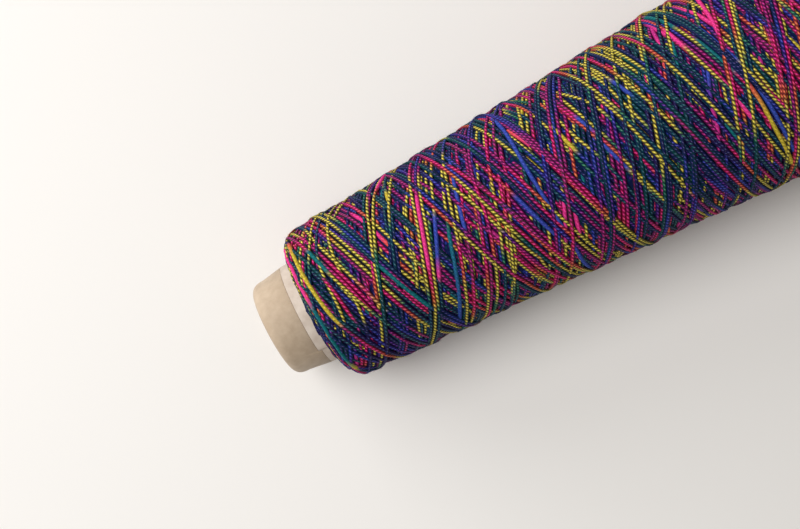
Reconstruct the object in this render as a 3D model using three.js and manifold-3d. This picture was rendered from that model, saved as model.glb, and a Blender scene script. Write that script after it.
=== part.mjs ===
// A cone of yarn lying on its side: a hollow paperboard winding cone with a rolled-in nose, the pale
// outer paper ply that is wrapped round it, and the cross-wound yarn.
// Millimetres, +Z up. The part rests on z = 0, and the cone points its nose along -X.
// The cone has a frame of its own, turned into place at the end: x runs along its axis from the nose
// face to the base face, and a point stands at a radius from that axis, at a turn counted from +Y
// through +Z, so that 90 degrees is the top.
import * as THREE from "three";
import { mergeVertices } from "three/addons/utils/BufferGeometryUtils.js";
import Module from "manifold-3d";

const wasm = await Module();
wasm.setup();

// The paper cone: 4 degrees 20 minutes to its axis, 230 long, a little over 33 across at its small end.
const coreLength = 230;
const coreTaper = Math.tan(THREE.MathUtils.degToRad(4 + 20 / 60));
const coreSmallRadius = 16.59;
const wallThickness = 2.6;

// The nose, where the wall is rolled in to a smooth lip, and opens out again behind the lip.
const noseLength = 11.7;
const lipLength = 5;
const lipRadius = 16.4;
const lipRounding = 0.6;
const noseBoreRadius = 11;
const noseBoreDepth = 4;
const noseBoreFlare = 2.2;

// The pale outer ply, in a seat of its own depth plus the gap that parts two pieces. Its edge creeps
// towards the nose by the skew in one turn, and steps back at the seam.
const pieceGap = 0.3;
const yarnGap = 0.4;
const plyThickness = 0.35;
const plySkew = 1.1;
const plySeamTurn = THREE.MathUtils.degToRad(135);

// The wound yarn. Each millimetre of the traverse holds the same weight of it, so the ring's section
// has the same area all along, and the layer is thinner where the cone is wider.
const woundStart = 14.6;
const woundEnd = 222;
const noseShoulder = 6.2;
const baseShoulder = 5;
const ringArea = 340 * Math.PI;

// The main twists: raised bands of turns that cross, wound both ways from end to end.
const bandsEachWay = 6;
const bandTurns = 3.4;
const bandHalfWidth = 3.6;
const bandHeight = 1.05;
const bandSink = 0.6;

// The strip that the yarn's own weight presses flat.
const restDepth = 0.7;
const restFade = [12, 34].map(THREE.MathUtils.degToRad);

// How finely the surfaces are divided.
const coreSides = 60;
const yarnSides = 58;
const yarnRows = 76;
const shoulderRows = 4;

function coreRadius(x) {
  return coreSmallRadius + coreTaper * x;
}

function woundRadius(x) {
  return Math.sqrt(coreRadius(x) ** 2 + ringArea / Math.PI);
}

// A closed skin from a ring of rows by a ring of sides. place(row, side) gives a row's point on one
// side as [along, radius, turn].
function ringGeometry(rows, sides, place) {
  const positions = [];
  const index = [];
  for (let row = 0; row < rows; row++) {
    for (let side = 0; side < sides; side++) {
      const [along, radius, turn] = place(row, side);
      positions.push(along, radius * Math.cos(turn), radius * Math.sin(turn));
      const nextRow = ((row + 1) % rows) * sides;
      const nextSide = (side + 1) % sides;
      const [a, b] = [row * sides + side, row * sides + nextSide];
      const [c, d] = [nextRow + side, nextRow + nextSide];
      index.push(a, b, c, b, d, c);
    }
  }
  return new THREE.BufferGeometry()
    .setAttribute("position", new THREE.Float32BufferAttribute(positions, 3))
    .setIndex(index);
}

// A tube of paper that is shut along the seam: its two sides next to the seam stand close together.
// Each row is [along, radius, share of the skew].
function seamedGeometry(rows, seamTurn) {
  const seamWidth = THREE.MathUtils.degToRad(0.6);
  return ringGeometry(rows.length, coreSides, (row, side) => {
    const share = side / (coreSides - 1);
    const [along, radius, skewed] = rows[row];
    const creep = skewed * plySkew * (1 - share);
    const turn = seamTurn + seamWidth / 2 + share * (2 * Math.PI - seamWidth);
    return [along + creep, radius + coreTaper * creep, turn];
  });
}

// The former: up the outside from the nose, and back down the bore.
function coreGeometry() {
  const rows = [];
  const lipSteps = 7;
  const faceRadius = noseBoreRadius + lipRounding;
  for (let i = 0; i <= lipSteps; i++) {
    const t = (i / lipSteps) * (Math.PI / 2);
    const radius = faceRadius + (lipRadius - faceRadius) * Math.sin(t);
    rows.push([lipLength * (1 - Math.cos(t)), radius, 0]);
  }
  const seat = plyThickness + pieceGap;
  rows.push(
    [noseLength, coreRadius(noseLength), 1],
    [noseLength, coreRadius(noseLength) - seat, 1],
    [coreLength, coreRadius(coreLength) - seat, 0],
    [coreLength, coreRadius(coreLength) - wallThickness, 0],
    [noseLength, coreRadius(noseLength) - wallThickness, 0],
    [2 * noseBoreDepth, noseBoreRadius + noseBoreFlare, 0],
    [noseBoreDepth, noseBoreRadius, 0],
    [2 * lipRounding, noseBoreRadius, 0],
    [lipRounding / 2, noseBoreRadius + lipRounding / 2, 0],
  );
  return seamedGeometry(rows, plySeamTurn);
}

// The ply lies in its seat, and its seam stands clear of the step in the seat.
function plyGeometry() {
  const [from, to] = [noseLength + pieceGap, coreLength - pieceGap];
  const rows = [
    [from, coreRadius(from) - plyThickness, 1],
    [from, coreRadius(from), 1],
    [to, coreRadius(to), 0],
    [to, coreRadius(to) - plyThickness, 0],
  ];
  return seamedGeometry(rows, plySeamTurn - pieceGap / coreRadius(noseLength));
}

// How far the bands raise the yarn: each is a rounded ridge along a helix, a little unlike the next,
// and the highest that passes a place is the one that shows.
function twistHeight(along, turn) {
  const share = (along - woundStart) / (woundEnd - woundStart);
  let highest = 0;
  for (const lean of [1, -1]) {
    for (let band = 0; band < bandsEachWay; band++) {
      const odd = Math.sin(2.4 * band + lean);
      const turns = bandTurns + 0.12 * odd;
      const start = ((band + 0.14 * odd) / bandsEachWay + (lean > 0 ? 0 : 0.21)) * 2 * Math.PI;
      const off = turn - start - lean * 2 * Math.PI * turns * share;
      const wrapped = off - 2 * Math.PI * Math.round(off / (2 * Math.PI));
      const lead = (woundEnd - woundStart) / (2 * Math.PI * turns);
      const away = Math.abs(wrapped * lead) / (bandHalfWidth * (1 + 0.2 * odd));
      if (away < 1) {
        const height = bandHeight * (1 + 0.22 * odd) * Math.cos((away * Math.PI) / 2);
        highest = Math.max(highest, height);
      }
    }
  }
  return highest;
}

// The wound form: a round shoulder at each end, and the layer between them. What lies under the
// resting plane is cut away.
function yarnGeometry(underRestingPlane) {
  const rows = [];
  for (let i = 0; i < shoulderRows; i++) {
    const share = i / shoulderRows;
    rows.push({ along: woundStart + noseShoulder * share, full: Math.sin((share * Math.PI) / 2) });
  }
  const [from, to] = [woundStart + noseShoulder, woundEnd - baseShoulder];
  for (let i = 0; i <= yarnRows; i++) {
    rows.push({ along: from + ((to - from) * i) / yarnRows, full: 1 });
  }
  for (let i = shoulderRows - 1; i >= 0; i--) {
    const share = i / shoulderRows;
    rows.push({ along: woundEnd - baseShoulder * share, full: Math.sin((share * Math.PI) / 2) });
  }
  const skin = ringGeometry(rows.length, yarnSides, (row, side) => {
    const { along, full } = rows[row];
    const turn = (side / yarnSides) * 2 * Math.PI;
    const inside = coreRadius(along) + yarnGap;
    const fromRest = Math.abs(Math.atan2(Math.cos(turn), -Math.sin(turn)));
    const free = THREE.MathUtils.smoothstep(fromRest, ...restFade);
    const raised = (twistHeight(along, turn) - bandSink) * free * full;
    return [along, inside + (woundRadius(along) - inside) * full + raised, turn];
  });
  const cut = solidOf(skin).subtract(solidOf(underRestingPlane));
  const { vertProperties, triVerts } = cut.getMesh();
  return new THREE.BufferGeometry()
    .setAttribute("position", new THREE.BufferAttribute(vertProperties, 3))
    .setIndex(new THREE.BufferAttribute(triVerts, 1));
}

function solidOf(geometry) {
  const bare = geometry.clone();
  bare.deleteAttribute("normal");
  bare.deleteAttribute("uv");
  const merged = mergeVertices(bare);
  return new wasm.Manifold(
    new wasm.Mesh({
      numProp: 3,
      vertProperties: merged.attributes.position.array,
      triVerts: new Uint32Array(merged.index.array),
    }),
  );
}

// The cone lies on the yarn: its axis rises towards the base by the slope of the wound surface, so
// that both ends of the layer come down to the same height.
const restFrom = woundStart + noseShoulder;
const restTo = woundEnd - baseShoulder;
const rise = Math.atan((woundRadius(restTo) - woundRadius(restFrom)) / (restTo - restFrom));
const noseHeight =
  woundRadius(restFrom) * Math.cos(rise) - restFrom * Math.sin(rise) - restDepth;

const cone = new THREE.Group();
cone.rotation.y = -rise;
cone.position.z = noseHeight;
cone.updateMatrix();

const slab = new THREE.BoxGeometry(2 * coreLength, coreLength, coreLength)
  .translate(coreLength / 2, 0, -coreLength / 2)
  .applyMatrix4(cone.matrix.clone().invert());

function piece(name, geometry, color, roughness) {
  const material = new THREE.MeshStandardMaterial({ color, roughness, metalness: 0 });
  const mesh = new THREE.Mesh(geometry, material);
  mesh.name = name;
  return mesh;
}

cone.add(
  piece("core_cone", coreGeometry(), "#c9ab8c", 0.85),
  piece("core_ply", plyGeometry(), "#d8cdc2", 0.8),
  piece("yarn_wound", yarnGeometry(slab), "#4a2f6b", 0.95),
);

// The origin stands on the resting plane under the middle of the part.
const part = new THREE.Group();
part.add(cone);
const middle = new THREE.Box3().setFromObject(part, true).getCenter(new THREE.Vector3());
part.position.set(-middle.x, -middle.y, 0);

export default part;
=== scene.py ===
# Looks for a cone of yarn: a paperboard cone with a pale outer ply, lying on the yarn wound round it.
# Everything is worked out in the cone's own frame, in millimetres: along runs down the axis from the nose
# face, height is the distance from the axis, and turn goes round it, with the top at a quarter turn.
import math
import bpy
import numpy as np
from mathutils import Matrix, Vector


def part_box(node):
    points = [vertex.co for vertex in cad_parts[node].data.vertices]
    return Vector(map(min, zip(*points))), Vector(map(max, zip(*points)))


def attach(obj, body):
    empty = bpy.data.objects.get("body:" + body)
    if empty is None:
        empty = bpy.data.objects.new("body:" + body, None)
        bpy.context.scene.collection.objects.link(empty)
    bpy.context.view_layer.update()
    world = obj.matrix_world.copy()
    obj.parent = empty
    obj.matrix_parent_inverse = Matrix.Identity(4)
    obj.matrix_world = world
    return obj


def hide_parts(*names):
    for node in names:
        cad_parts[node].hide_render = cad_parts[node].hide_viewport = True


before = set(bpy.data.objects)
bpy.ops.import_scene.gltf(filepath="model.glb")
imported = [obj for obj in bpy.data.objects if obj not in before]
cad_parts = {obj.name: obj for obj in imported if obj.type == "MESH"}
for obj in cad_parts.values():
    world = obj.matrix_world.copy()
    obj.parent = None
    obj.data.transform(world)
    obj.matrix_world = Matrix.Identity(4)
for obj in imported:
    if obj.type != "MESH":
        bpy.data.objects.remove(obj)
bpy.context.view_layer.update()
print("frame loaded")

scene = bpy.context.scene
mm = 0.001
tau = 2 * np.pi

cone = {
    "length": 230.0,
    "slope": math.tan(math.radians(4 + 20 / 60)),
    "smallRadius": 16.59,
    "seat": 0.65,            # how far the board lies under the pale ply and its gap
}
wound = {
    "start": 14.6,
    "end": 222.0,
    "noseShoulder": 6.2,
    "baseShoulder": 5.0,
    "ringArea": 340.0,       # the wound ring's section over pi, the same all along
    "restDepth": 0.7,        # of the flat strip it rests on
}


def coneRadius(along):
    return cone["smallRadius"] + cone["slope"] * along


def woundRadius(along):
    return np.sqrt(coneRadius(along) ** 2 + wound["ringArea"])


restFrom = wound["start"] + wound["noseShoulder"]
restTo = wound["end"] - wound["baseShoulder"]
rise = math.atan((woundRadius(restTo) - woundRadius(restFrom)) / (restTo - restFrom))
noseHeight = woundRadius(restFrom) * math.cos(rise) - restFrom * math.sin(rise) - wound["restDepth"]
baseRim = coneRadius(cone["length"]) - cone["seat"]
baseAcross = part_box("core_cone")[1].x / mm
noseAcross = baseAcross - cone["length"] * math.cos(rise) - baseRim * math.sin(rise)


# Turns the cone's frame into the row's: up the slope by the rise, then to the nose's place, in metres.
def placed(along, height, turn):
    y = height * np.cos(turn)
    up = height * np.sin(turn)
    x = noseAcross + along * math.cos(rise) - up * math.sin(rise)
    z = noseHeight + along * math.sin(rise) + up * math.cos(rise)
    return np.stack([x, y, z], axis=-1) * mm


def newObject(name, data):
    made = bpy.data.objects.new(name, data)
    scene.collection.objects.link(made)
    return made


# A mesh from its points, the corners of its faces in one row, and how many corners each face has.
def newMesh(name, points, loops, sizes):
    mesh = bpy.data.meshes.new(name)
    mesh.vertices.add(len(points))
    mesh.vertices.foreach_set("co", points.astype(np.float32).ravel())
    mesh.loops.add(len(loops))
    mesh.loops.foreach_set("vertex_index", loops.astype(np.int32))
    mesh.polygons.add(len(sizes))
    mesh.polygons.foreach_set("loop_start", (np.cumsum(sizes) - sizes).astype(np.int32))
    mesh.polygons.foreach_set("loop_total", sizes.astype(np.int32))
    mesh.polygons.foreach_set("use_smooth", np.ones(len(sizes), bool))
    mesh.update(calc_edges=True)
    mesh.validate()
    piece = newObject(name, mesh)
    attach(piece, "root")
    return piece


# A closed skin: rows of points round the axis, each row joined to the next and the last to the first.
def ringSkin(name, grid):
    rows, sides = grid.shape[:2]
    here = np.arange(rows * sides).reshape(rows, sides)
    side = np.roll(here, -1, axis=1)
    below = np.roll(here, -1, axis=0)
    across = np.roll(below, -1, axis=1)
    quads = np.stack([here, side, across, below], axis=-1).reshape(-1, 4)
    return newMesh(name, grid.reshape(-1, 3), quads.ravel(), np.full(len(quads), 4))


# sRGB hex to the linear colour that the shader wants.
def linear(code):
    srgb = np.array([int(code[i:i + 2], 16) for i in (1, 3, 5)]) / 255
    return np.where(srgb <= 0.04045, srgb / 12.92, ((srgb + 0.055) / 1.055) ** 2.4)


def colour(code):
    return (*linear(code), 1.0)


# A shader node with its settings, and its links, each from a socket or from a node's first one.
def addNode(tree, kind, settings=None, links=None):
    node = tree.nodes.new("ShaderNode" + kind)
    for key, value in (settings or {}).items():
        if isinstance(key, int) or not hasattr(node, key):
            node.inputs[key].default_value = value
        else:
            setattr(node, key, value)
    for key, source in (links or {}).items():
        tree.links.new(getattr(source, "outputs", [source])[0], node.inputs[key])
    return node


# Gives a ramp's elements their places and colours.
def fillRamp(ramp, places, codes):
    for _ in codes[2:]:
        ramp.color_ramp.elements.new(0.5)
    for element, place, code in zip(ramp.color_ramp.elements, places, codes):
        element.position = place
        element.color = colour(code)


# A named material with the settings of its one surface shader.
def newMaterial(name, shader):
    material = bpy.data.materials.new(name)
    material.use_nodes = True
    tree = material.node_tree
    tree.nodes.clear()
    surface = addNode(tree, "BsdfPrincipled", shader)
    addNode(tree, "OutputMaterial", None, {"Surface": surface})
    return material, tree, surface


# The winding, in millimetres unless a note says otherwise.
winding = {
    "seed": 11,
    "passes": 114,           # from end to end
    "turns": 3.45,           # in one pass
    "turnsRange": 0.35,      # how far a pass may be off that
    "leads": 20,             # of which the best is taken
    "evenTurns": 3.5,        # of one beside the one before last
    "evenLeads": (0.85, 1.35, 5),     # strands apart, least and most, and how many between
    "beside": 1.02,          # strand widths from one to the next
    "meanRadius": 30,
    "chance": (0.9, 1.1),    # by which a lead that lies low is passed over
    "points": 700,           # of the thread in a pass
    "turnBack": 0.04,        # of a pass, in which it slows at each end
    "creep": 0.02,           # its slowest share of the even pace
    "noseEnds": (0.9, 3.0, 11),       # from the layer's end to where a pass turns: least, usual, most
    "baseEnds": (0.9, 3.0, 9),
    "markedEnds": (1.0, 3.5),         # least and most, for a strand with marks
    "sway": (0.4, 1.5),      # of the line of passes side by side
    "swayRates": [(1, 3), (3, 6)],
    "tremble": (0.1, 0.45),  # of each pass
    "trembleRates": [(5, 14), (14, 26)],
    "halfWidth": 0.62,       # of a twisted stretch as it lies
    "halfHeight": 0.54,
    "give": 0.5,             # how soft it is: 0 for a wire, 1 for a thread with no body
    "slubSwell": 0.2,        # how much thicker a smooth stretch is
    "plump": 1.15,           # how far neighbours bulge into one another
    "slip": 1.2,             # how far a strand may slip aside to lie lower
    "markedSlip": 0.35,      # the same for one that has marks
    "slipCost": 0.12,        # in height, of slipping a millimetre
    "slipBlend": 0.07,       # in height, within which two places are as good
    "stiff": (5, 4, 1.7),    # points over which its cost, its slip and its height are evened
    "press": 0.16,           # how far a strand sinks into what it lies on
    "dip": 0.15,             # and how much further where it bends over something
    "seen": 0.45,            # how deep a strand still shows between others
    "depth": 2.6,            # of the layer that is wound turn by turn
    "endDepth": 0.9,         # at the two ends of it
    "clear": 0.1,            # between the layer and the cone
    "corner": 3,             # cells over which the skin's corners are evened
    "bend": 7,               # points over which a strand's line is, at its marks
    "tight": 0.22,           # what the tension leaves of the height of one strand over another
    "lumps": 0.14,           # and what it leaves of the broad lumps
    "proud": 0.5,            # how far a strand at the mean height is over the wound skin
    "least": (0.7, 0.8),     # half strands that its middle keeps off the layer's foot and the floor
    "broad": 4.0,            # how wide a lump is
    "cell": 0.42,            # of the height map
    "cellsRound": 480,
    "buried": (6, 2.0),      # a marked strand's ends: over so many points it goes so deep
    "fade": 5,               # degrees, in which a marked strand takes on its marks
    "repeats": 11,           # of the dye in two passes, so that neighbours are often dyed alike
    "borders": 0.22,         # of a dye's length, by which it begins early or late
    "blend": 5.0,            # in which one dye runs into the next
    "sides": 6,
    "pieces": 6,
}

# Smooth thick stretches, in points of the thread.
slubs = {
    "first": 200,            # the first begins before this
    "least": 10,
    "most": 34,
    "gap": 660,
    "steep": 8,              # 4 for a full parabola, more for one cut off lower
}

# The dyed ply repeats these stretches: their colour where it is twisted with the dark binder and where it
# runs smooth, and their length in millimetres.
dyeRepeat = {
    "pink": ("#c81e6c", "#e43a8c", 22),
    "coral": ("#c65a34", "#dc5446", 12),
    "yellow": ("#c8b83e", "#c9b234", 40),
    "green": ("#246c48", "#4c8a4c", 7),
    "teal": ("#06464e", "#0a6a6e", 40),
    "navy": ("#121f50", "#1c3074", 40),
    "blue": ("#283692", "#3448a4", 16),
    "purple": ("#4a1a7c", "#5c3294", 14),
    "magenta": ("#981468", "#c02c84", 32),
}

# The dark binder is space dyed too, in steps of its own that fall out of time with the other's. Next to a
# bright dye the ground between the beads takes on that dye, darkened: painted shade of the dyed ply deep in
# the grooves between the plies.
binderAndShade = {"dyes": ["#09163e", "#022e32", "#1e0a3c", "#04203e"], "length": 47.0, "shadedDye": 0.55}

# Strands of the last turns that catch the eye, laid over the rest in this order: the way they slant (1
# towards the base as the turn grows, -1 towards the nose) and the marks they go through: along in
# millimetres, turn in degrees, and the dye where it is another. Between its marks a strand runs smooth
# unless it is said to be twisted.
topStrands = [
    (-1, [(53, 39, "yellow"), (55.7, 46)]),
    (1, [(120.3, 82, "blue"), (124, 101)]),
    (1, [(117.9, 64, "blue"), (119.8, 73)]),
    (1, [(110.3, 62, "yellow"), (112.1, 78)]),
    (1, [(93.6, 50, "yellow"), (99.1, 72)]),
    (1, [(97.3, 44, "coral"), (103.2, 71, "pink")]),
    (-1, [(102.6, 101, "pink"), (96.9, 126, "magenta")]),
    (-1, [(102.8, 112, "pink"), (102.5, 127)]),
    (-1, [(86.6, 24, "blue"), (81.9, 66)]),
    (-1, [(77, 43, "blue"), (72.1, 89)]),
    (1, [(89.8, 87, "blue"), (95.3, 119)]),
    (-1, [(66.8, 86, "teal"), (56.8, 151, "blue")]),
    (-1, [(65, 74, "blue"), (60, 96), (57.3, 108, "pink")]),
    (1, [(152.2, 29, "magenta"), (153.7, 43, "pink")]),
    (1, [(132.3, 55, "blue"), (135.4, 66)]),
    (1, [(161.9, 87, "pink"), (163.6, 107)]),
    (1, [(162.9, 53, "blue"), (167.8, 78)]),
    (1, [(160.9, 59, "teal"), (165.5, 82)]),
    (-1, [(140.5, 71, "pink"), (140.1, 82, "magenta")]),
    (1, [(155, 43, "pink"), (156.1, 57)]),
    (1, [(153, 17, "teal"), (157.4, 42)]),
    (-1, [(166.9, 32, "pink"), (168.6, 47), (167.3, 66)]),
    (1, [(126.3, 59, "yellow"), (132.2, 91), (137.3, 131)], "twisted"),
    (1, [(169.6, 91, "blue"), (172.5, 154)]),
    (1, [(168.7, 94, "coral"), (168.5, 110, "yellow"), (170.5, 150)]),
    (1, [(96.1, 28, "blue"), (97.4, 90), (99.8, 160)]),
    (-1, [(33.5, 32, "yellow"), (32.1, 48), (31, 60), (30.4, 83), (31, 96), (31.5, 111)], "twisted"),
    (1, [(27.5, 29, "yellow"), (27, 42), (28.9, 54), (31.3, 67), (33.5, 81),
        (35.8, 94, "pink"), (37.3, 110, "yellow")], "twisted"),
    (1, [(24, 32, "pink"), (27.1, 53, "magenta"), (29, 65, "pink"), (31.9, 84), (33.3, 93),
        (35.9, 113, "magenta")], "twisted"),
    (1, [(27.7, 67, "magenta"), (31, 81, "pink"), (32, 94), (34.5, 112)], "twisted"),
    (-1, [(48.2, 35, "yellow"), (46.3, 51), (43.8, 68), (41.8, 80), (39.9, 92), (38.3, 105)], "twisted"),
    (-1, [(25.5, 61, "yellow"), (25.6, 74), (25.9, 85), (25.6, 96), (25.4, 106)], "twisted"),
    (1, [(26.4, 77, "pink"), (26.8, 87), (26.8, 98), (26.6, 107)], "twisted"),
    (1, [(20.2, 63, "magenta"), (21.3, 75), (22.1, 86), (22.5, 97)], "twisted"),
    (-1, [(63, 39, "yellow"), (62, 50), (60.9, 61), (58.2, 79)], "twisted"),
    (-1, [(65.8, 42, "yellow"), (64.1, 57), (62.9, 66), (60.3, 85)], "twisted"),
    (-1, [(75.4, 36, "yellow"), (74.1, 52), (72.5, 64), (71.1, 73), (69.6, 83), (68.6, 93)], "twisted"),
    (1, [(74, 64, "yellow"), (76.1, 71), (78.1, 77), (78.9, 83), (79.8, 91), (80.9, 98)], "twisted"),
    (1, [(76.2, 49, "pink"), (78.5, 55), (80.3, 63), (81.9, 72, "magenta"), (83.8, 79, "pink"),
        (85.1, 84)], "twisted"),
    (-1, [(79.6, 71, "pink"), (80.3, 79), (79.8, 87), (78.6, 95, "magenta"),
        (77.5, 102, "pink")], "twisted"),
    (1, [(43.4, 86, "teal"), (50.4, 123)]),
    (1, [(24.9, 50, "teal"), (27.2, 70)]),
    (-1, [(62.6, 57, "pink"), (56.5, 99)]),
    (-1, [(58.8, 3, "pink"), (52, 26)]),
    (1, [(17.6, 18, "pink"), (17.2, 46), (18, 81), (18.2, 90, "teal"), (18.4, 111), (18.6, 139),
        (19.4, 150, "yellow")]),
    (1, [(20.6, 32, "coral"), (19.6, 45, "yellow"), (20.9, 88), (23, 105)]),
]

rng = np.random.default_rng(winding["seed"])


# The wound skin as a profile: it climbs the nose shoulder by a sine, follows the wound radius, and comes
# down the base shoulder. The top layer starts deeper, straight in from it by the layer's depth, or by one
# strand at the ends. Returned by the skin's length from the nose end.
def windingProfile(spacing):
    steps = 4000             # far finer than the spacing
    along = np.linspace(wound["start"], wound["end"], steps)
    climb = np.clip((along - wound["start"]) / wound["noseShoulder"], 0, 1)
    fall = np.clip((wound["end"] - along) / wound["baseShoulder"], 0, 1)
    full = np.sin(climb * np.pi / 2) * np.sin(fall * np.pi / 2)
    height = coneRadius(along) + (woundRadius(along) - coneRadius(along)) * full
    run = np.concatenate([[0], np.cumsum(np.hypot(np.diff(along), np.diff(height)))])
    even = np.arange(0, run[-1], spacing)
    a, h, f = (np.interp(even, run, v) for v in (along, height, full))
    slopeA, slopeH = (smoothed(np.gradient(v), winding["corner"]) for v in (a, h))
    size = np.hypot(slopeA, slopeH)
    outA, outH = -slopeH / size, slopeA / size
    deep = winding["depth"] * f + winding["endDepth"] * (1 - f)
    base = np.maximum(h - deep * outH, coneRadius(a) + winding["clear"])
    return {
        "run": even, "skin": a, "along": a - deep * outA, "height": base,
        "deep": deep, "outA": outA, "outH": outH,
    }


# A weighted running mean: each value becomes the bell-shaped average of its neighbours, spread in places.
def smoothed(values, spread):
    reach = int(3 * spread) + 1
    bell = np.exp(-0.5 * (np.arange(-reach, reach + 1) / spread) ** 2)
    padded = np.concatenate([np.full(reach, values[0]), values, np.full(reach, values[-1])])
    return np.convolve(padded, bell / bell.sum(), mode="valid")


profile = windingProfile(winding["cell"])
runLength = profile["run"][-1]
sideCells = winding["cellsRound"]
cellTurn = tau / sideCells
rowCells = len(profile["run"])
topMap = np.zeros((rowCells, sideCells), np.float32)


def cellOf(run, turn):
    row = np.clip(np.rint(run / winding["cell"]).astype(int), 0, rowCells - 1)
    return row, np.rint(turn / cellTurn).astype(int) % sideCells


def profileAt(run, key):
    return np.interp(run, profile["run"], profile[key])


# One pass of the traverse: the thread leaves one end slowly, runs on at an even lead, and slows again at
# the other end. Slow waves make it stray a little from that line.
def passPath(forward, low, high, startTurn, turns, wave):
    u = np.linspace(0, 1, winding["points"])
    ease = winding["turnBack"]
    speed = np.clip(u / ease, 0, 1) * np.clip((1 - u) / ease, 0, 1) + winding["creep"]
    share = np.cumsum(speed) / speed.sum()
    if not forward:
        share = 1 - share
    turn = startTurn + tau * turns * u
    stray = sum(w["size"] * np.sin(w["rate"] * share * tau + w["phase"]) for w in wave)
    return low + (high - low) * share + stray * np.sin(np.pi * share) ** 0.5, turn


# Sine waves, one for each range of rates, with their sizes, rates and phases drawn.
def newWave(least, most, rates):
    return [
        {"size": rng.uniform(least, most), "rate": rng.uniform(*rate), "phase": rng.uniform(0, tau)}
        for rate in rates
    ]


# Unit steps along the thread and across it, on the wound surface: each is a share of run and of turn.
def acrossThread(run, turn):
    radius = profileAt(run, "height")
    stepRun, stepRound = np.gradient(run), np.gradient(turn) * radius
    size = np.hypot(stepRun, stepRound)
    return stepRound / size, -stepRun / size / radius


# The height at which a strand's centre comes to rest: on the highest thing under its oval section, less
# what both give way, which brings it down towards the mean of what lies under it.
def restingHeight(run, turn, acrossRun, acrossTurn, wide, tall):
    tops = []
    for o in np.linspace(-0.9, 0.9, 7):
        cells = cellOf(run + o * wide * acrossRun, turn + o * wide * acrossTurn)
        tops.append(topMap[cells] + tall * np.sqrt(1 - o * o))
    give = winding["give"]
    return (1 - give) * np.max(tops, axis=0) + give * np.mean(tops, axis=0)


# Lays one pass. The taut thread slips sideways into the lowest place near its line, rests there on what it
# crosses, in a smooth line, and sinks in a little. Its own top is then added to the map.
def lay(run, turn, swell, slack):
    acrossRun, acrossTurn = acrossThread(run, turn)
    wide = winding["halfWidth"] * swell
    tall = winding["halfHeight"] * swell
    costPoints, slipPoints, heightPoints = winding["stiff"]
    slips = np.linspace(-slack, slack, 9)
    places = [(run + x * acrossRun, turn + x * acrossTurn) for x in slips]
    heights = [restingHeight(*place, acrossRun, acrossTurn, wide, tall) for place in places]
    even = np.stack([smoothed(height, costPoints) for height in heights])
    cost = even + winding["slipCost"] * slips[:, None] * slips[:, None]
    pull = np.exp(-(cost - cost.min(axis=0)) / winding["slipBlend"])
    slip = smoothed((pull * slips[:, None]).sum(axis=0) / pull.sum(axis=0), slipPoints)
    run, turn = run + slip * acrossRun, turn + slip * acrossTurn
    acrossRun, acrossTurn = acrossThread(run, turn)
    support = restingHeight(run, turn, acrossRun, acrossTurn, wide, tall)
    wider = np.maximum(support, np.maximum(np.roll(support, 1), np.roll(support, -1)))
    centre = np.maximum(smoothed(wider, heightPoints), support - winding["dip"]) - winding["press"]
    fine = np.linspace(0, len(run) - 1, 3 * len(run))
    index = np.arange(len(run))
    rows = (run, turn, centre, acrossRun, acrossTurn, wide, tall)
    r, t, c, ar, at, w, h = (np.interp(fine, index, v) for v in rows)
    for o in np.linspace(-0.97, 0.97, 9):
        np.maximum.at(topMap, cellOf(r + o * w * ar, t + o * w * at), c + h * np.sqrt(1 - o * o))
    return run, turn, centre


# How high over the profile the floor is, straight out from the axis, where that faces down.
def floorLimit(run, turn):
    along = profileAt(run, "along")
    down = -np.sin(turn) * math.cos(rise)
    reach = (noseHeight + along * math.sin(rise)) / np.maximum(down, 1e-3)
    return np.where(down > 0.2, reach - profileAt(run, "height"), np.inf)


# Where the smooth thick stretches fall: each swells and dies away by a parabola that is cut off at the top.
def slubsAlong(total):
    slub = np.zeros(total)
    place = rng.uniform(0, slubs["first"])
    while place < total:
        length = rng.uniform(slubs["least"], slubs["most"])
        reach = np.arange(int(place), min(total, int(place + length)))
        share = (reach - place) / length
        slub[reach] = np.clip(slubs["steep"] * share * (1 - share), 0, 1)
        place += length + rng.gamma(2.0, slubs["gap"] / 2)
    return slub


# The whole thread, pass after pass, to and fro. A few passes each way lie side by side, a strand apart,
# and then the winding moves on. Of several leads the one whose line lies lowest is taken.
def windThread():
    passes, points = winding["passes"], winding["points"]
    slub = slubsAlong(passes * points)
    turn = rng.uniform(0, tau)
    apart = 2 * winding["halfWidth"] * winding["beside"] / winding["meanRadius"] / tau / 2
    left = 0
    rows = []
    for k in range(passes):
        if left == 0:
            left = 2 * rng.integers(1, 3)
            wave = newWave(*winding["sway"], winding["swayRates"])
            off = winding["turnsRange"]
            leads = winding["turns"] + np.linspace(-off, off, winding["leads"])
        else:
            leads = winding["evenTurns"] + apart * np.linspace(*winding["evenLeads"])
        left -= 1
        low = rng.triangular(*winding["noseEnds"])
        high = runLength - rng.triangular(*winding["baseEnds"])
        own = wave + newWave(*winding["tremble"], winding["trembleRates"])
        tries = [passPath(k % 2 == 0, low, high, turn, turns, own) for turns in leads]
        heights = [
            float(np.mean(topMap[cellOf(*way)] ** 2)) * rng.uniform(*winding["chance"]) for way in tries
        ]
        run, path = tries[int(np.argmin(heights))]
        swell = 1 + winding["slubSwell"] * slub[k * points:(k + 1) * points]
        run, path, centre = lay(run, path, swell, winding["slip"])
        turn = path[-1]
        rows.append(np.stack([run, path, centre, swell], axis=-1))
    print("wound", passes, "passes")
    return np.concatenate(rows), slub


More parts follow.
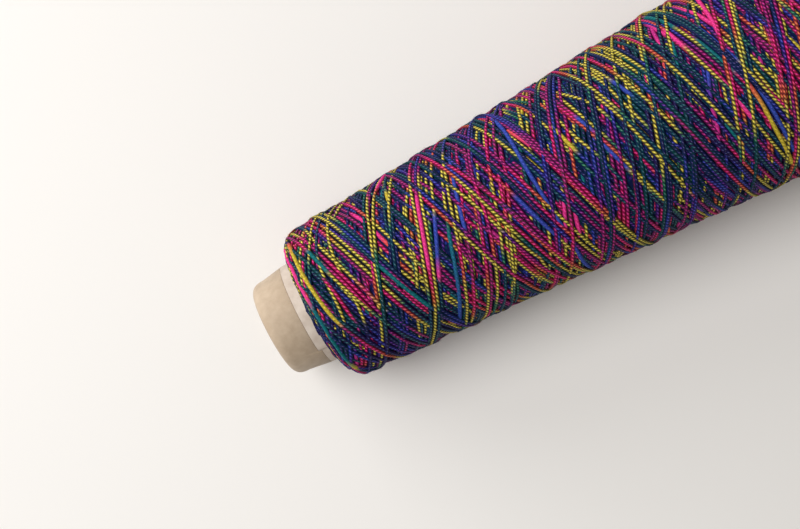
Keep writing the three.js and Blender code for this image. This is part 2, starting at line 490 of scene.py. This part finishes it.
# A strand with marks: a line through them, with their turns in radians, that goes on at the usual slant to
# both ends of the cone and is bell-smoothed where it bends.
def markedPath(slant, marks, low, high):
    lead = slant * (runLength / winding["turns"] / tau)
    alongMarks, turnMarks = zip(*[(m[0], math.radians(m[1])) for m in marks])
    runMarks = list(np.interp(alongMarks, profile["skin"], profile["run"]))
    first, last = (low, high) if lead > 0 else (high, low)
    begin = turnMarks[0] + (first - runMarks[0]) / lead
    end = turnMarks[-1] + (last - runMarks[-1]) / lead
    turn = np.linspace(begin, end, winding["points"])
    run = np.interp(turn, [begin, *turnMarks, end], [first, *runMarks, last])
    return smoothed(run, winding["bend"]), turn


# Lays the strands with marks, one over another, their ends going down into the layer. Between its marks
# each takes on their dye, and a smooth one swells. Returned with how smooth and how marked they are.
def layTopStrands():
    rows, swells, shares, dyes = [], [], [], []
    table = {name: np.concatenate([linear(code) for code in d[:2]]) for name, d in dyeRepeat.items()}
    fade = math.radians(winding["fade"])
    buryPoints, buryDepth = winding["buried"]
    for slant, marks, *twisted in topStrands:
        low = rng.uniform(*winding["markedEnds"])
        high = runLength - rng.uniform(*winding["markedEnds"])
        run, turn = markedPath(slant, marks, low, high)
        turns = [math.radians(m[1]) for m in marks]
        share = np.clip(np.minimum(turn - turns[0] + fade, turns[-1] + fade - turn) / fade, 0, 1)
        slub = share * (not twisted)
        swell = 1 + winding["slubSwell"] * slub
        run, turn, centre = lay(run, turn, swell, winding["markedSlip"])
        fromEnd = np.minimum(np.arange(len(run)), np.arange(len(run))[::-1])
        buried = buryDepth * np.clip(1 - fromEnd / buryPoints, 0, 1)
        rows.append(np.stack([run, turn, centre - buried, swell], axis=-1))
        shades = []
        for mark in marks:
            shades.append(table[mark[2]] if len(mark) > 2 else shades[-1])
        dyes.append(np.stack([np.interp(turn, turns, part) for part in np.transpose(shades)], axis=-1))
        swells.append(slub)
        shares.append(share)
    print("laid", len(topStrands), "strands on top")
    return [np.concatenate(part) for part in (rows, swells, shares, dyes)]


# The dye along the thread: the repeat over and over, stretched to go evenly into two passes, each border a
# little early or late, each colour running into the next. The binder's dyes follow one another evenly, and
# give way beside a red dye to its square, less so the more green it has: that square is painted shade, the
# dye darkened in the grooves between the plies. Returned one beside the other.
def dyeAlong(length, smooth, share, named):
    names, points = len(dyeRepeat), winding["points"]
    twoPasses = float(np.median(length[2 * points::points] - length[:-2 * points:points]))
    twisted, untwisted, base = zip(*dyeRepeat.values())
    base = np.array(base, float)
    base *= twoPasses / winding["repeats"] / base.sum()
    cycles = int(length[-1] / base.sum()) + 2
    each = np.tile(base, cycles)
    edges = np.cumsum(each) + rng.uniform(-winding["borders"], winding["borders"], names * cycles) * each
    index = np.searchsorted(edges, length)
    blend = np.clip(1 - (edges[index] - length) / winding["blend"], 0, 1)[:, None]
    blend = blend * blend * (3 - 2 * blend)
    now, then = index % names, (index + 1) % names
    s, ofMarks = smooth[:, None], share[:, None]
    mixes = []
    for codes, marked in ((twisted, named[:, :3]), (untwisted, named[:, 3:])):
        table = np.array([linear(code) for code in codes])
        mixes.append((table[now] * (1 - blend) + table[then] * blend) * (1 - ofMarks) + marked * ofMarks)
    dye = mixes[0] * (1 - s) + mixes[1] * s
    step = length / binderAndShade["length"]
    dark = np.array([linear(code) for code in binderAndShade["dyes"]])
    which = step.astype(int) % len(dark)
    change = np.clip((step % 1) * 4 - 3, 0, 1)[:, None]
    dark = dark[which] * (1 - change) + dark[(which + 1) % len(dark)] * change
    # painted shade: the dye, darkened, where it sinks into the grooves between the plies
    shadedDye = binderAndShade["shadedDye"] * dye * dye * (1 - dye[:, 1:2]) ** 2
    return np.concatenate([dye, dark * (1 - dye[:, 0:1]) + shadedDye], axis=1)


# Weights that make each cell the bell-shaped average of its row, which may run on round the cone.
def bellWeights(count, spread, closed):
    gap = np.abs(np.arange(count)[:, None] - np.arange(count)[None, :])
    gap = np.minimum(gap, count - gap) if closed else gap
    bell = np.exp(-0.5 * (gap / spread) ** 2)
    return bell / bell.sum(axis=1, keepdims=True)


# The tension of the winding: bell-weighted means of the height map give its broad lumps. Every strand keeps
# its place over or under the others, but its height over the lumps, and theirs over the even ring, shrink.
def tightened(thread):
    broadCells = winding["broad"] / (cellTurn * float(profile["height"].mean()))
    broad = bellWeights(rowCells, winding["broad"] / winding["cell"], False) @ topMap
    broad = broad @ bellWeights(sideCells, broadCells, True).T
    run, turn, centre, swell = thread.T
    cells = cellOf(run, turn)
    here, mean = broad[cells], broad.mean(axis=1)[cells[0]]
    even = profileAt(run, "deep") - winding["halfHeight"] + winding["proud"]
    height = even + winding["lumps"] * (here - mean) + winding["tight"] * (centre - here)
    tall = winding["halfHeight"] * swell
    offFoot, offFloor = winding["least"]
    height = np.maximum(height, offFoot * tall)
    height = np.minimum(height, floorLimit(run, turn) - offFloor * tall)
    return np.stack([run, turn, height, swell], axis=-1)


# Points of the thread that show, and two more each way: some part of the strand's top lies near the map's.
def showing(thread):
    run, turn, centre, swell = thread.T
    acrossRun, acrossTurn = acrossThread(run, turn)
    wide, tall = winding["halfWidth"] * swell, winding["halfHeight"] * swell
    seen = np.zeros(len(run), bool)
    for o in (-0.85, -0.5, 0, 0.5, 0.85):
        cells = cellOf(run + o * wide * acrossRun, turn + o * wide * acrossTurn)
        seen |= centre + tall * np.sqrt(1 - o * o) > topMap[cells] - winding["seen"]
    for _ in range(2):
        seen = seen | np.roll(seen, 1) | np.roll(seen, -1)
    return seen


# Faces of closed tubes, ring after ring: sides between neighbouring rings that are both kept, and a flat
# end where a kept stretch starts or stops. Returned with which rings are joined to the next.
def tubeFaces(keep, sides):
    number = np.cumsum(keep) - 1
    joined = keep[:-1] & keep[1:]
    j = np.arange(sides)
    a = number[:-1][joined][:, None] * sides + j
    b = number[:-1][joined][:, None] * sides + (j + 1) % sides
    quads = np.stack([a, a + sides, b + sides, b], axis=-1).ravel()
    starts = number[keep & ~np.concatenate([[False], keep[:-1]])]
    ends = number[keep & ~np.concatenate([keep[1:], [False]])]
    shut = np.concatenate([starts[:, None] * sides + j, ends[:, None] * sides + j[::-1]]).ravel()
    sizes = np.concatenate([np.full(len(quads) // 4, 4), np.full(len(shut) // sides, sides)])
    return np.concatenate([quads, shut]), sizes, joined


# The colour of each ring of a tube, given to all of its points.
def paintPoints(piece, name, shade, sides):
    paint = piece.data.attributes.new(name, "FLOAT_COLOR", "POINT")
    shade = np.concatenate([shade, np.ones((len(shade), 1))], axis=1)
    paint.data.foreach_set("color", np.repeat(shade, sides, axis=0).astype(np.float32).ravel())


# Unit steps ahead, across and outward at each point of a line.
def lineFrame(core, outward):
    ahead = np.gradient(core, axis=-2)
    ahead /= np.linalg.norm(ahead, axis=-1, keepdims=True)
    across = np.cross(ahead, outward)
    across /= np.linalg.norm(across, axis=-1, keepdims=True)
    return ahead, across, np.cross(across, ahead)


# Where the thread's middle runs, and a step outward there.
def threadLine(thread):
    run, turn, centre = thread.T[:3]
    along, height, outA, outH = (profileAt(run, key) for key in ("along", "height", "outA", "outH"))
    core, over = (placed(along + c * outA, height + c * outH, turn) for c in (centre, centre + 1))
    return core, over - core


# Strands as closed tubes: an oval section stands across the thread at each point, its sides joined to the
# next one's. Where a stretch goes out of sight, the tube is shut with a flat end.
def strandPiece(name, thread, dye, smooth, length, keep):
    core, outward = threadLine(thread)
    _, across, out = lineFrame(core, outward)
    sides = winding["sides"]
    angle = np.arange(sides)[:, None] / sides * tau
    plump = winding["plump"] + (1 - winding["plump"]) * smooth
    w = (winding["halfWidth"] * plump * thread[:, 3] * mm)[:, None, None]
    h = (winding["halfHeight"] * thread[:, 3] * mm)[:, None, None]
    ring = core[:, None] + w * np.cos(angle) * across[:, None] + h * np.sin(angle) * out[:, None]
    ring[..., 2] = np.maximum(ring[..., 2], 0)
    loops, sizes, joined = tubeFaces(keep, sides)
    piece = newMesh(name, ring[keep].reshape(-1, 3), loops, sizes)
    u, uNext = (np.repeat(part[joined], sides) for part in (length[:-1], length[1:]))
    v = np.tile(np.arange(sides) / sides, joined.sum())
    vNext = v + 1 / sides
    corners = [(u, v), (uNext, v), (uNext, vNext), (u, vNext)]
    sideUv = np.stack([np.stack(corner, -1) for corner in corners], axis=1).reshape(-1, 2)
    endUv = np.zeros((len(loops) - len(sideUv), 2))
    uv = piece.data.uv_layers.new(name="lay")
    uv.data.foreach_set("uv", np.concatenate([sideUv, endUv]).astype(np.float32).ravel())
    paintPoints(piece, "dye", dye[keep, :3], sides)
    # the ground between the beads: the binder's own dyes with painted shade of the dyed ply
    paintPoints(piece, "binderAndShade", dye[keep, 3:], sides)
    flat = piece.data.attributes.new("smooth", "FLOAT", "POINT")
    flat.data.foreach_set("value", np.repeat(smooth[keep], sides).astype(np.float32))
    return piece


yarnLook = {
    "lay": 1.56,             # mm from one bead to the next
    "long": 1.0,             # mm, half a bead
    # the beads end short of a strand's sides, which keep the dark ground: the binder, and painted shade
    # where neighbours meet
    "wide": 0.42,
    "lean": math.radians(33),
    "edge": (1.1, 0.45),     # where a bead begins and is full, 1 being its edge
    "highlightSpot": (0.5, 0.0),    # where the painted highlight in its middle does
    "pale": "#615069",       # the painted highlight that the middle gains
    # how much the painted highlight brightens the dye in the middle
    "highlightGain": 0.8,
    "ribs": 0.25,            # what a smooth stretch keeps of the beads
    "dome": (1.2, 0.2),      # where its height does
    "relief": 0.0003,        # metres
    "grain": 0.6,            # of that, for the fibres
    "fibres": (1.6, 9, 0),   # to a millimetre along, and round the strand
    "uneven": (0.6, 1.35),
}


# Soft cotton and acrylic plies twisted with a dark binder, space dyed: short slanting beads of colour on a
# dark ground, with a painted highlight in their middles, and smooth thick stretches with faint ribs. The
# ground is the binder's own colour with painted shade: the dye darkened in the grooves between plies, and
# at each strand's sides beyond the beads, where neighbours meet. A bead is an ellipse that leans: with
# along and across from its middle, p is along cos lean - across sin lean, q is along sin lean + across cos
# lean, and out is the root of (p / long)^2 + (q / wide)^2, which is 1 at its edge.
def yarnMaterial():
    material, tree, surface = newMaterial("spaceDyedPliedYarn", {
        "Roughness": 0.7, "IOR": 1.5, "Specular IOR Level": 0.12,
    })
    lean, lay = yarnLook["lean"], yarnLook["lay"]
    half = winding["halfWidth"] * winding["plump"]
    toP = (lay * math.cos(lean) / yarnLook["long"], -half * math.sin(lean) / yarnLook["long"], 0)
    toQ = (lay * math.sin(lean) / yarnLook["wide"], half * math.cos(lean) / yarnLook["wide"], 0)
    dye, ground, smooth = (
        addNode(tree, "Attribute", {"attribute_name": name}) for name in ("dye", "binderAndShade", "smooth")
    )
    smooth = smooth.outputs["Fac"]
    place = addNode(tree, "UVMap", {"uv_map": "lay"})
    scaled = addNode(tree, "VectorMath", {"operation": "MULTIPLY", 1: (1 / lay, tau, 0)}, {0: place})
    parts = addNode(tree, "SeparateXYZ", None, {0: scaled})
    along = addNode(tree, "Math", {"operation": "FRACT"}, {0: parts.outputs["X"]})
    across = addNode(tree, "Math", {"operation": "COSINE"}, {0: parts.outputs["Y"]})
    spot = addNode(tree, "CombineXYZ", None, {0: along, 1: across})
    fromMiddle = addNode(tree, "VectorMath", {"operation": "SUBTRACT", 1: (0.5, 0, 0)}, {0: spot})
    p = addNode(tree, "VectorMath", {"operation": "DOT_PRODUCT", 1: toP}, {0: fromMiddle})
    q = addNode(tree, "VectorMath", {"operation": "DOT_PRODUCT", 1: toQ}, {0: fromMiddle})
    both = addNode(tree, "CombineXYZ", None, {0: p.outputs[1], 1: q.outputs[1]})
    out = addNode(tree, "VectorMath", {"operation": "LENGTH"}, {0: both}).outputs[1]
    bead, highlightSpot, dome = (
        addNode(tree, "MapRange", {
            "interpolation_type": way, "From Min": yarnLook[key][0], "From Max": yarnLook[key][1],
        }, {"Value": out})
        for key, way in (("edge", "SMOOTHSTEP"), ("highlightSpot", "SMOOTHSTEP"), ("dome", "LINEAR"))
    )
    flat = addNode(tree, "Math", {"operation": "MULTIPLY", 1: 1 - yarnLook["ribs"]}, {0: smooth})
    shown = addNode(tree, "Math", {"operation": "MAXIMUM"}, {0: bead, 1: flat})
    beaded = addNode(tree, "MapRange", {"To Min": 1.0, "To Max": yarnLook["ribs"]}, {"Value": smooth})
    # The painted highlight: strongest in a bead's middle, weaker on smooth stretches.
    glint = addNode(tree, "Math", {"operation": "MULTIPLY"}, {0: highlightSpot, 1: beaded})
    stretch = addNode(tree, "VectorMath", {"operation": "MULTIPLY", 1: yarnLook["fibres"]}, {0: place})
    fibre = addNode(tree, "TexNoise", {"Scale": 1.0, "Detail": 3.0}, {"Vector": stretch}).outputs["Fac"]
    least, most = yarnLook["uneven"]
    uneven = addNode(tree, "MapRange", {
        "From Min": 0.3, "From Max": 0.7, "To Min": least, "To Max": most,
    }, {"Value": fibre})
    tone = addNode(tree, "VectorMath", {"operation": "SCALE"}, {0: dye, "Scale": uneven})
    mixed = addNode(tree, "Mix", {"data_type": "RGBA"}, {0: shown, 6: ground, 7: tone})
    # Each bead's middle is brightened and paled: a painted highlight.
    gain = yarnLook["highlightGain"]
    highlightGain = addNode(tree, "Math", {"operation": "MULTIPLY_ADD", 1: gain, 2: 1.0}, {0: glint})
    pale = linear(yarnLook["pale"])
    paler = addNode(tree, "VectorMath", {"operation": "SCALE", 0: pale}, {"Scale": glint})
    dyed = mixed.outputs[2]
    lit = addNode(tree, "VectorMath", {"operation": "MULTIPLY_ADD"}, {0: dyed, 1: highlightGain, 2: paler})
    tree.links.new(lit.outputs[0], surface.inputs["Base Color"])
    ribbed = addNode(tree, "Math", {"operation": "MULTIPLY"}, {0: dome, 1: beaded})
    grain = yarnLook["grain"]
    rough = addNode(tree, "Math", {"operation": "MULTIPLY_ADD", 1: grain}, {0: fibre, 2: ribbed})
    bump = addNode(tree, "Bump", {"Strength": 0.8, "Distance": yarnLook["relief"]}, {"Height": rough})
    tree.links.new(bump.outputs[0], surface.inputs["Normal"])
    return material


thread, slub = windThread()
top, topSlub, topShare, topDye = layTopStrands()
share = np.concatenate([np.zeros(len(thread)), topShare])
named = np.concatenate([np.zeros((len(thread), 6)), topDye])
thread, slub = np.concatenate([thread, top]), np.concatenate([slub, topSlub])
keep = showing(thread)
looseEnds = (winding["passes"] + np.arange(len(topStrands) + 1)) * winding["points"]
keep[looseEnds[:-1]] = False
keep[looseEnds - 1] = False
thread = tightened(thread)
steps = np.linalg.norm(np.diff(threadLine(thread)[0], axis=0), axis=1)
length = np.concatenate([[0], np.cumsum(steps)]) / mm
dye = dyeAlong(length, slub, share, named)
print("thread", round(length[-1] / 1000), "m, of which", round(100 * keep.mean()), "% shows")
strandMaterial = yarnMaterial()
counts = np.cumsum(keep)
pieces = winding["pieces"]
cuts = [int(np.searchsorted(counts, counts[-1] * i / pieces)) for i in range(pieces + 1)]
for i in range(pieces):
    part = slice(cuts[i], cuts[i + 1])
    fromCut = length[part] - length[cuts[i]]
    piece = strandPiece(f"yarn_strands_{i + 1}", thread[part], dye[part], slub[part], fromCut, keep[part])
    piece.data.materials.append(strandMaterial)
    print(piece.name, len(piece.data.vertices), "points")


fuzz = {
    "hairs": 4400,
    "joints": 6,
    "haze": 0.2,             # how much paler they are than the yarn
    "paleness": "#cfc6d6",
    "root": 0.9,             # half strands from a strand's middle to their start
    "radius": 0.024,         # mm, of a few fibres together
    "thin": 0.6,             # what they lose of it to their tips
    "long": (0.8, 4.2),      # mm
    "bow": (0.1, 0.45),      # mm off the strand
    "stray": (-0.9, 0.9),    # mm to a side
}


# Fibre ends that have worked loose, as closed three-sided hairs. Each starts inside a strand that shows,
# runs ahead, leans aside by the square of its share of the way, bows off by a sine, and thins out.
def looseFibres():
    rows = np.flatnonzero(keep & (slub < 0.5) & (thread[:, 2] > np.median(thread[keep, 2])))
    start = rng.choice(rows, fuzz["hairs"], replace=False)
    core, outward = threadLine(thread)
    ahead, across, out = (step[start][:, None] for step in lineFrame(core, outward))
    joints = fuzz["joints"]
    share = np.linspace(0, 1, joints)[None, :, None]
    reach, bow, lean, way = (
        rng.uniform(low, high, (len(start), 1, 1)) * mm
        for low, high in (fuzz["long"], fuzz["bow"], fuzz["stray"], (-1, 1))
    )
    line = core[start][:, None] + np.sign(way) * ahead * reach * share + across * lean * share ** 2
    line += out * (fuzz["root"] * winding["halfHeight"] * mm + bow * np.sin(share * np.pi * 0.8))
    _, side, up = lineFrame(line, out)
    angle = (np.arange(3) / 3 * tau)[:, None]
    thick = fuzz["radius"] * mm * (1 - fuzz["thin"] * share)[..., None]
    ring = line[:, :, None] + thick * (np.cos(angle) * side[:, :, None] + np.sin(angle) * up[:, :, None])
    ring[..., 2] = np.maximum(ring[..., 2], 0)
    spaced = np.concatenate([ring, ring[:, :1]], axis=1).reshape(-1, 3, 3)
    kept = np.tile(np.arange(joints + 1) < joints, len(start))
    loops, sizes, _ = tubeFaces(kept, 3)
    piece = newMesh("loose_fibres", spaced[kept].reshape(-1, 3), loops, sizes)
    paintPoints(piece, "dye", np.repeat(dye[start, :3], joints, axis=0), 3)
    return piece


# Dyed fibres on their own, off the yarn: matt, and paler than in it, for the light gets through them.
def fibreMaterial():
    material, tree, surface = newMaterial("looseDyedFibre", {"Roughness": 0.8, "Specular IOR Level": 0.3})
    shade = addNode(tree, "Attribute", {"attribute_name": "dye"})
    paler = addNode(tree, "Mix", {"data_type": "RGBA", 0: fuzz["haze"], 7: colour(fuzz["paleness"])},
                    {6: shade.outputs["Color"]})
    tree.links.new(paler.outputs[2], surface.inputs["Base Color"])
    return material


hairs = looseFibres()
hairs.data.materials.append(fibreMaterial())
print("loose fibres", len(hairs.data.polygons), "faces")


under = {
    "height": 2.1,           # mm over the foot of the layer
    "step": 1.2,             # mm
    "sides": 120,
    "lowEnds": 4,            # mm along to a millimetre up, at both ends
    "foot": 0.05,            # mm over the cone
    "rest": 0.3,             # mm over the floor
    "spot": 1.1,             # mm, of one dye
    "dyes": ["navy", "teal", "navy", "purple", "magenta", "teal", "blue", "navy"],
}


# The body of turns under the strands: the foot of the top layer, raised to just under the strands' middles,
# but left low at both ends, where the strands alone make the edge.
def underBody():
    run = np.arange(1.0, runLength - 1.0, under["step"])
    turn = np.linspace(0, tau, under["sides"], endpoint=False)
    raised = under["height"] * (profile["deep"] / winding["depth"]) ** 3
    raised = np.minimum(raised, np.minimum(profile["run"], runLength - profile["run"]) / under["lowEnds"])
    along = np.interp(run, profile["run"], profile["along"] + raised * profile["outA"])
    height = np.interp(run, profile["run"], profile["height"] + raised * profile["outH"])
    inner = np.array([along[-1], along[0]])
    alongAll = np.concatenate([along, inner])
    heightAll = np.concatenate([height, coneRadius(inner) + under["foot"]])
    grid = placed(alongAll[:, None], heightAll[:, None], turn[None, :])
    grid[..., 2] = np.maximum(grid[..., 2], under["rest"] * mm)
    return ringSkin("yarn_body", grid)


# The same yarn deep between the strands, as the eye makes it out: spots of its dyes on the dark binder.
def bodyMaterial():
    material, tree, surface = newMaterial("shadedInnerYarn", {"Roughness": 0.95, "Specular IOR Level": 0.1})
    at = addNode(tree, "TexCoord").outputs["Object"]
    spots = addNode(tree, "TexVoronoi", {"Scale": 1 / (under["spot"] * mm)}, {"Vector": at})
    pick = addNode(tree, "SeparateColor", None, {0: spots.outputs["Color"]})
    ramp = addNode(tree, "ValToRGB", None, {"Fac": pick})
    ramp.color_ramp.interpolation = "CONSTANT"
    codes = [dyeRepeat[name][0] for name in under["dyes"]]
    fillRamp(ramp, np.arange(len(codes)) / len(codes), codes)
    edge = addNode(tree, "MapRange", {
        "From Min": 0.15, "From Max": 0.6, "To Min": 0.9, "To Max": 0.0,
    }, {"Value": spots.outputs["Distance"]})
    shade = addNode(tree, "Mix", {"data_type": "RGBA", 6: colour(binderAndShade["dyes"][0])},
                    {0: edge, 7: ramp.outputs["Color"]})
    tree.links.new(shade.outputs[2], surface.inputs["Base Color"])
    return material


body = underBody()
body.data.materials.append(bodyMaterial())
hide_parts("yarn_wound")
print("under body", len(body.data.polygons), "faces")


# The paper cone, in millimetres unless a note says otherwise.
board = {
    "wall": 2.6,
    "noseLength": 11.7,      # of bare board, up to the pale ply
    "edge": (0.15, 0.12),    # length and drop of the worn edge where the bare nose ends
    "lipLength": 5.0,
    "lipRadius": 16.4,
    "lipRounding": 0.6,
    "lipSquareness": 0.72,   # 1 for a quarter oval, less for a squarer one
    "boreRadius": 11.0,
    "boreDepth": 4.0,
    "boreFlare": 2.2,
    "sides": 180,
    "colours": ("#ad9880", "#c3af97"),
    "mottle": (420.0, 70.0), # to a metre, fine and broad
    "relief": 0.2,
}
ply = {
    "thickness": 0.35,
    "gap": 0.3,              # of bare board at the base
    "clear": 0.06,           # between it and the bare nose, and the length of its bevel
    "bevel": 0.05,
    "lift": 0.02,            # of its nose edge off the board
    "skew": 1.1,             # how much nearer the nose its edge creeps in one turn
    "seamTurn": math.radians(135),
    "seamWidth": math.radians(0.6),
    "seamShift": 0.004,      # radians between its seam and the board's
    "colours": ("#b9aa9c", "#cdc0b3"),
    "mottle": 260.0,
}


# A skin round the axis from rows of along, height and how far the row creeps towards the nose in one turn,
# before it jumps back at the seam.
def seamedSkin(name, rows, seamTurn):
    share = np.linspace(0, 1, board["sides"])
    turn = seamTurn + ply["seamWidth"] / 2 + share * (tau - ply["seamWidth"])
    table = np.array(rows)
    creep = table[:, 2:3] * ply["skew"] * (1 - share)
    grid = placed(table[:, 0:1] + creep, table[:, 1:2] + cone["slope"] * creep, turn[None, :])
    return ringSkin(name, grid)


# Up from the nose by a squared quarter oval, along the board to the base, and back down the bore.
def paperCone():
    nose, end = board["noseLength"], cone["length"]
    wall, seat = board["wall"], cone["seat"]
    edge, drop = board["edge"]
    bore, rounding = board["boreRadius"], board["lipRounding"]
    t = np.linspace(0, np.pi / 2, 14)
    oval = board["lipSquareness"]
    lipAlong = board["lipLength"] * (1 - np.cos(t) ** oval)
    lipHeight = bore + rounding + (board["lipRadius"] - (bore + rounding)) * np.sin(t) ** oval
    rows = [
        *np.stack([lipAlong, lipHeight, 0 * t], axis=-1),
        [nose - edge, coneRadius(nose - edge), 1],
        [nose, coneRadius(nose) - drop, 1],
        [nose, coneRadius(nose) - seat, 1],
        [end, coneRadius(end) - seat, 0],
        [end, coneRadius(end) - wall, 0],
        [nose, coneRadius(nose) - wall, 0],
        [2 * board["boreDepth"], bore + board["boreFlare"], 0],
        [board["boreDepth"], bore, 0],
        [2 * rounding, bore, 0],
        [rounding / 2, bore + rounding / 2, 0],
    ]
    return seamedSkin("paper_cone", rows, ply["seamTurn"])


# One ply round the board: up its bevelled nose edge, along to the base, and back against the board.
def outerPly():
    start, end = board["noseLength"] + ply["clear"], cone["length"] - ply["gap"]
    rows = [
        [start, coneRadius(start) - cone["seat"] + ply["lift"], 1],
        [start, coneRadius(start) - ply["bevel"], 1],
        [start + ply["clear"], coneRadius(start), 1],
        [end, coneRadius(end), 0],
        [end, coneRadius(end) - ply["thickness"], 0],
    ]
    return seamedSkin("outer_ply", rows, ply["seamTurn"] - ply["seamShift"])


# Kraft paperboard, wound in plies and glued, its nose rolled in and rubbed: brown fibres in a fine mottle
# under a broader one, and a faint polish.
def kraftMaterial():
    material, tree, surface = newMaterial("rolledKraftBoard", {
        "Roughness": 0.62, "IOR": 1.47, "Specular IOR Level": 0.35, "Sheen Weight": 0.08,
    })
    at = addNode(tree, "TexCoord").outputs["Object"]
    fine, broad = board["mottle"]
    mottle = addNode(tree, "TexNoise", {"Scale": fine, "Detail": 5.0, "Roughness": 0.62}, {"Vector": at})
    clouds = addNode(tree, "TexNoise", {"Scale": broad, "Detail": 3.0}, {"Vector": at})
    both = addNode(tree, "Math", {"operation": "MULTIPLY_ADD", 1: 0.65}, {0: mottle, 2: clouds})
    ramp = addNode(tree, "ValToRGB", None, {"Fac": both})
    fillRamp(ramp, (0.55, 1.0), board["colours"])
    tree.links.new(ramp.outputs["Color"], surface.inputs["Base Color"])
    bump = addNode(tree, "Bump", {"Strength": 0.35, "Distance": board["relief"] * mm}, {"Height": mottle})
    tree.links.new(bump.outputs[0], surface.inputs["Normal"])
    return material


# White-lined paper, one ply, pasted on: pale grey-pink with a little fibre in it.
def plyMaterial():
    material, tree, surface = newMaterial("pastedPalePaper", {"Roughness": 0.75, "Specular IOR Level": 0.3})
    at = addNode(tree, "TexCoord").outputs["Object"]
    mottle = addNode(tree, "TexNoise", {"Scale": ply["mottle"], "Detail": 4.0}, {"Vector": at})
    ramp = addNode(tree, "ValToRGB", None, {"Fac": mottle})
    fillRamp(ramp, (0.3, 0.7), ply["colours"])
    tree.links.new(ramp.outputs["Color"], surface.inputs["Base Color"])
    return material


former = paperCone()
former.data.materials.append(kraftMaterial())
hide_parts("core_cone")
sleeve = outerPly()
sleeve.data.materials.append(plyMaterial())
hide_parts("core_ply")
print("paper cone and ply made")


room = {
    "cameraAlong": 47.0,     # mm from the nose to the picture's middle
    "cameraHeight": 550.0,   # mm over the axis
    "pictureTurn": 28.0,     # degrees between the axis and the picture's long side
    "fieldWidth": 260.4,     # mm across the picture at the axis
    "floorHalf": 2.5,        # metres, as are the next two
    "lightAway": 1.1,
    "lightSize": 0.8,
    "lightTint": (1.0, 0.995, 0.99),
    "windowLow": (150, 20, 6.0),      # degrees round the picture from its right, degrees up, and watts
    "windowHigh": (180, 60, 8.4),
    "floor": "#f1eeea",
    "sky": "#f3f1ee",
    "skyStrength": 0.3,
}


# Looks straight down at a point of the axis, turned from it. Returns the picture's right and up.
def makeCamera():
    data = bpy.data.cameras.new("camera")
    data.sensor_width = 36
    data.lens = data.sensor_width / room["fieldWidth"] * room["cameraHeight"]
    data.clip_start, data.clip_end = 0.01, 10
    camera = newObject("camera", data)
    a = math.radians(room["pictureTurn"])
    right = Vector((math.cos(a), -math.sin(a), 0))
    up = Vector((math.sin(a), math.cos(a), 0))
    back = right.cross(up)
    spot = Vector(placed(np.array(room["cameraAlong"]), np.array(0.0), np.array(0.0)))
    place = Matrix((right, up, back)).transposed().to_4x4()
    place.translation = spot + back * room["cameraHeight"] * mm
    camera.matrix_world = place
    scene.camera = camera
    return right, up


# A table painted matt: one even pale tone, with no gloss to mirror the lights.
def makeFloor():
    half = room["floorHalf"]
    corners = [(-half, -half, 0), (half, -half, 0), (half, half, 0), (-half, half, 0)]
    mesh = bpy.data.meshes.new("floor")
    mesh.from_pydata(corners, [], [(0, 1, 2, 3)])
    floor = newObject("floor", mesh)
    paint = {"Base Color": colour(room["floor"]), "Roughness": 0.9, "Specular IOR Level": 0.2}
    mesh.materials.append(newMaterial("mattPaleTable", paint)[0])


# A soft round light that looks at the cone from so far round the picture and so high over the table.
def addLight(name, right, up):
    around, high, power = room[name]
    data = bpy.data.lights.new(name, "AREA")
    data.shape = "DISK"
    data.size = room["lightSize"]
    data.energy = power
    data.color = room["lightTint"]
    light = newObject(name, data)
    a, e = math.radians(around), math.radians(high)
    toward = (right * math.cos(a) + up * math.sin(a)) * math.cos(e) + Vector((0, 0, math.sin(e)))
    light.location = toward * room["lightAway"]
    light.rotation_euler = (-toward).to_track_quat("-Z", "Y").to_euler()


pictureRight, pictureUp = makeCamera()
makeFloor()
addLight("windowLow", pictureRight, pictureUp)
addLight("windowHigh", pictureRight, pictureUp)
world = bpy.data.worlds.new("studio")
scene.world = world
world.use_nodes = True
sky = world.node_tree.nodes["Background"].inputs
sky["Color"].default_value = colour(room["sky"])
sky["Strength"].default_value = room["skyStrength"]
scene.view_settings.view_transform = "Standard"
print("camera, floor and lights made")
